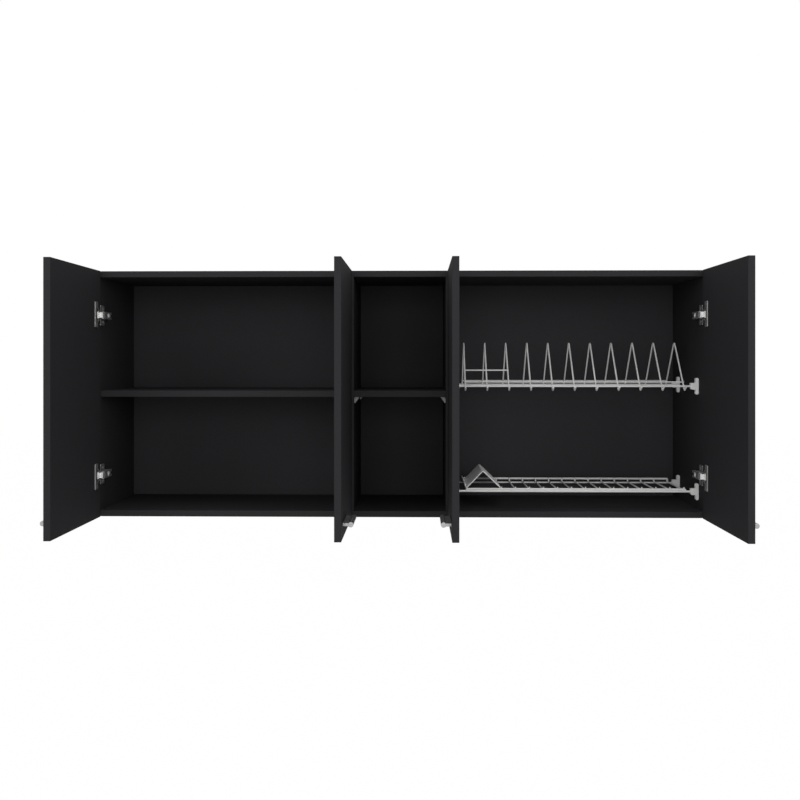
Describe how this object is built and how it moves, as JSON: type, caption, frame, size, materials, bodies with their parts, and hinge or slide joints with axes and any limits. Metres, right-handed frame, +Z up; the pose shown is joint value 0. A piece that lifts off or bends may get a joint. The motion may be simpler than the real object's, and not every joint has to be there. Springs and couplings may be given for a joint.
{
  "type": "kitchen wall cabinet",
  "caption": "Frameless kitchen wall cabinet with paired hinged doors on two cupboards, an open shelved middle section and a wire rack for draining plates and cups.",
  "frame": {"origin": "centre of the rear face of the upper hanging rail, in the plane of the wall", "axes": "+X to the right seen from the front, +Y into the wall, +Z up; the front faces -Y"},
  "size_m": [1.5372, 0.6246, 0.6],
  "materials": {
    "charcoal_board": "charcoal melamine-faced board with a fine satin texture",
    "back_board": "charcoal lacquered hardboard",
    "hinge_nickel": "nickel-plated pressed steel",
    "handle_steel": "satin brushed",
    "hanger_steel": "zinc-plated",
    "rack_wire": "white powder-coated wire",
    "ridge_sheet": "white powder-coated folded sheet, fine grain",
    "rack_bracket_plastic": "white moulded plastic",
    "shelf_bracket_plastic": "grey moulded plastic"
  },
  "bodies": {
    "carcass": {"left_side": "charcoal_board", "right_side": "charcoal_board", "left_divider": "charcoal_board", "right_divider": "charcoal_board", "top_panel": "charcoal_board", "bottom_panel": "charcoal_board", "back_panel": "back_board", "upper_rail": "charcoal_board", "lower_rail": "charcoal_board", "left_hanger": "hanger_steel", "right_hanger": "hanger_steel", "left_shelf": "charcoal_board", "middle_shelf": "charcoal_board", "middle_shelf_bracket_left_front": "shelf_bracket_plastic", "middle_shelf_bracket_left_rear": "shelf_bracket_plastic", "middle_shelf_bracket_right_front": "shelf_bracket_plastic", "middle_shelf_bracket_right_rear": "shelf_bracket_plastic", "plate_rack_bracket_left_front": "rack_bracket_plastic", "plate_rack_bracket_left_rear": "rack_bracket_plastic", "plate_rack_bracket_right_front": "rack_bracket_plastic", "plate_rack_bracket_right_rear": "rack_bracket_plastic", "cup_rack_bracket_left_front": "rack_bracket_plastic", "cup_rack_bracket_left_rear": "rack_bracket_plastic", "cup_rack_bracket_right_front": "rack_bracket_plastic", "cup_rack_bracket_right_rear": "rack_bracket_plastic", "plate_rack": "rack_wire", "cup_rack": "rack_wire", "cup_rack_ridge": "ridge_sheet", "left_outer_lower_hinge_arm": "hinge_nickel", "left_outer_upper_hinge_arm": "hinge_nickel", "left_inner_lower_hinge_arm": "hinge_nickel", "left_inner_upper_hinge_arm": "hinge_nickel", "right_inner_lower_hinge_arm": "hinge_nickel", "right_inner_upper_hinge_arm": "hinge_nickel", "right_outer_lower_hinge_arm": "hinge_nickel", "right_outer_upper_hinge_arm": "hinge_nickel"},
    "left_outer_links": {"left_outer_lower_hinge_link": "hinge_nickel", "left_outer_upper_hinge_link": "hinge_nickel"},
    "left_outer_leaf": {"left_outer_door": "charcoal_board", "left_outer_handle": "handle_steel", "left_outer_lower_hinge_cup": "hinge_nickel", "left_outer_upper_hinge_cup": "hinge_nickel"},
    "left_inner_links": {"left_inner_lower_hinge_link": "hinge_nickel", "left_inner_upper_hinge_link": "hinge_nickel"},
    "left_inner_leaf": {"left_inner_door": "charcoal_board", "left_inner_handle": "handle_steel", "left_inner_lower_hinge_cup": "hinge_nickel", "left_inner_upper_hinge_cup": "hinge_nickel"},
    "right_inner_links": {"right_inner_lower_hinge_link": "hinge_nickel", "right_inner_upper_hinge_link": "hinge_nickel"},
    "right_inner_leaf": {"right_inner_door": "charcoal_board", "right_inner_handle": "handle_steel", "right_inner_lower_hinge_cup": "hinge_nickel", "right_inner_upper_hinge_cup": "hinge_nickel"},
    "right_outer_links": {"right_outer_lower_hinge_link": "hinge_nickel", "right_outer_upper_hinge_link": "hinge_nickel"},
    "right_outer_leaf": {"right_outer_door": "charcoal_board", "right_outer_handle": "handle_steel", "right_outer_lower_hinge_cup": "hinge_nickel", "right_outer_upper_hinge_cup": "hinge_nickel"}
  },
  "joints": [
    {"name": "left_outer_link_turn", "type": "hinge", "parent": "carcass", "child": "left_outer_links", "pos_m": [-0.725, -0.306, 0], "axis": [0, 0, -1], "range_deg": [-3.23, 57.22]},
    {"name": "left_outer_door_turn", "type": "hinge", "parent": "left_outer_links", "child": "left_outer_leaf", "pos_m": [-0.7337, -0.31764, 0], "axis": [0, 0, -1], "range_deg": [-147.16, 8.18]},
    {"name": "left_inner_link_turn", "type": "hinge", "parent": "carcass", "child": "left_inner_links", "pos_m": [-0.137, -0.306, 0], "axis": [0, 0, 1], "range_deg": [-3.23, 57.22]},
    {"name": "left_inner_door_turn", "type": "hinge", "parent": "left_inner_links", "child": "left_inner_leaf", "pos_m": [-0.1283, -0.31764, 0], "axis": [0, 0, 1], "range_deg": [-147.16, 8.18]},
    {"name": "right_inner_link_turn", "type": "hinge", "parent": "carcass", "child": "right_inner_links", "pos_m": [0.137, -0.306, 0], "axis": [0, 0, -1], "range_deg": [-3.23, 57.22]},
    {"name": "right_inner_door_turn", "type": "hinge", "parent": "right_inner_links", "child": "right_inner_leaf", "pos_m": [0.1283, -0.31764, 0], "axis": [0, 0, -1], "range_deg": [-147.16, 8.18]},
    {"name": "right_outer_link_turn", "type": "hinge", "parent": "carcass", "child": "right_outer_links", "pos_m": [0.725, -0.306, 0], "axis": [0, 0, 1], "range_deg": [-3.23, 57.22]},
    {"name": "right_outer_door_turn", "type": "hinge", "parent": "right_outer_links", "child": "right_outer_leaf", "pos_m": [0.7337, -0.31764, 0], "axis": [0, 0, 1], "range_deg": [-147.16, 8.18]}
  ],
  "couplings": [
    {"joint": "left_outer_link_turn", "follows": "left_outer_door_turn", "ratio": -0.38849},
    {"joint": "left_inner_link_turn", "follows": "left_inner_door_turn", "ratio": -0.38849},
    {"joint": "right_inner_link_turn", "follows": "right_inner_door_turn", "ratio": -0.38849},
    {"joint": "right_outer_link_turn", "follows": "right_outer_door_turn", "ratio": -0.38849}
  ]
}
